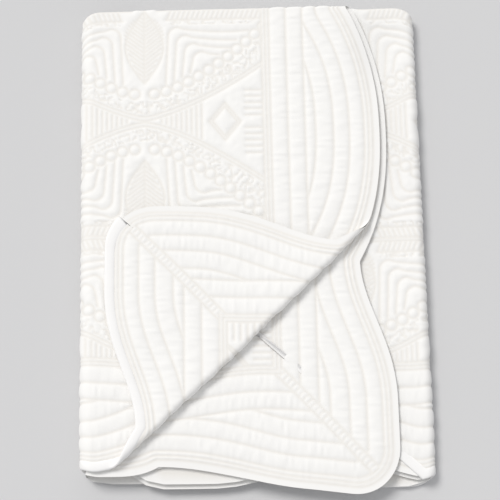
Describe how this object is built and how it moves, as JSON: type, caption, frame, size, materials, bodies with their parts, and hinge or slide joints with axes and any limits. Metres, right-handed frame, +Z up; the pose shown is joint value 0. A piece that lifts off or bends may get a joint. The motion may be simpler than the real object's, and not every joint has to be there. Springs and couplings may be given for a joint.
{
  "type": "matelasse coverlet, folded",
  "caption": "White quilted cotton coverlet with a scalloped, bound edge, folded into a flat bundle with one corner of the top layer turned back.",
  "frame": {"origin": "middle of the bundle's box, on the surface that it lies on", "axes": "+Z up, +Y towards the crosswise fold at the far end, +X towards the side where the scalloped edges show"},
  "size_m": [0.4096, 0.602, 0.0419],
  "materials": {
    "quilted_cotton": "matt white quilted cotton sateen",
    "bias_binding": "matt white bias cut cotton"
  },
  "bodies": {
    "root": {"coverlet": "quilted_cotton", "binding": "bias_binding"}
  },
  "joints": []
}
